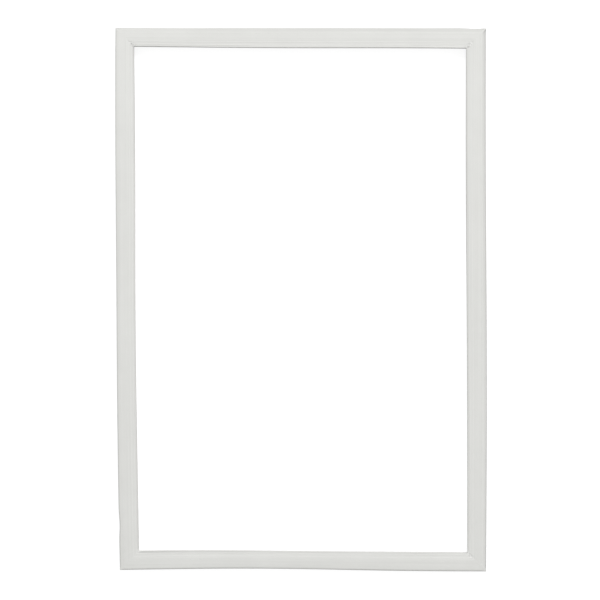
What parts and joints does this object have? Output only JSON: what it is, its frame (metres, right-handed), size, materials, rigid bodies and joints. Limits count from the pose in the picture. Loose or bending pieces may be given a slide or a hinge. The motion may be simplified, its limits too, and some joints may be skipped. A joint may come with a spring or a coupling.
{
  "type": "refrigerator door gasket",
  "caption": "Rectangular magnetic door seal: a mitred soft vinyl frame with sealing face, lips, bellows and push-in dart, and flexible magnet strips in its pocket.",
  "frame": {"origin": "centre of the footprint, at the tips of the dart that the gasket lies on", "axes": "+Z out of the magnetic sealing face, +Y towards the top of the door, +X to the right seen from the face"},
  "size_m": [0.548, 0.8026, 0.022],
  "materials": {
    "vinyl": "satin soft vinyl, off-white",
    "ferrite": "matt dark brown-black ferrite rubber"
  },
  "bodies": {
    "root": {"gasket_frame": "vinyl", "magnet_strip_bottom": "ferrite", "magnet_strip_right": "ferrite", "magnet_strip_top": "ferrite", "magnet_strip_left": "ferrite"}
  },
  "joints": []
}
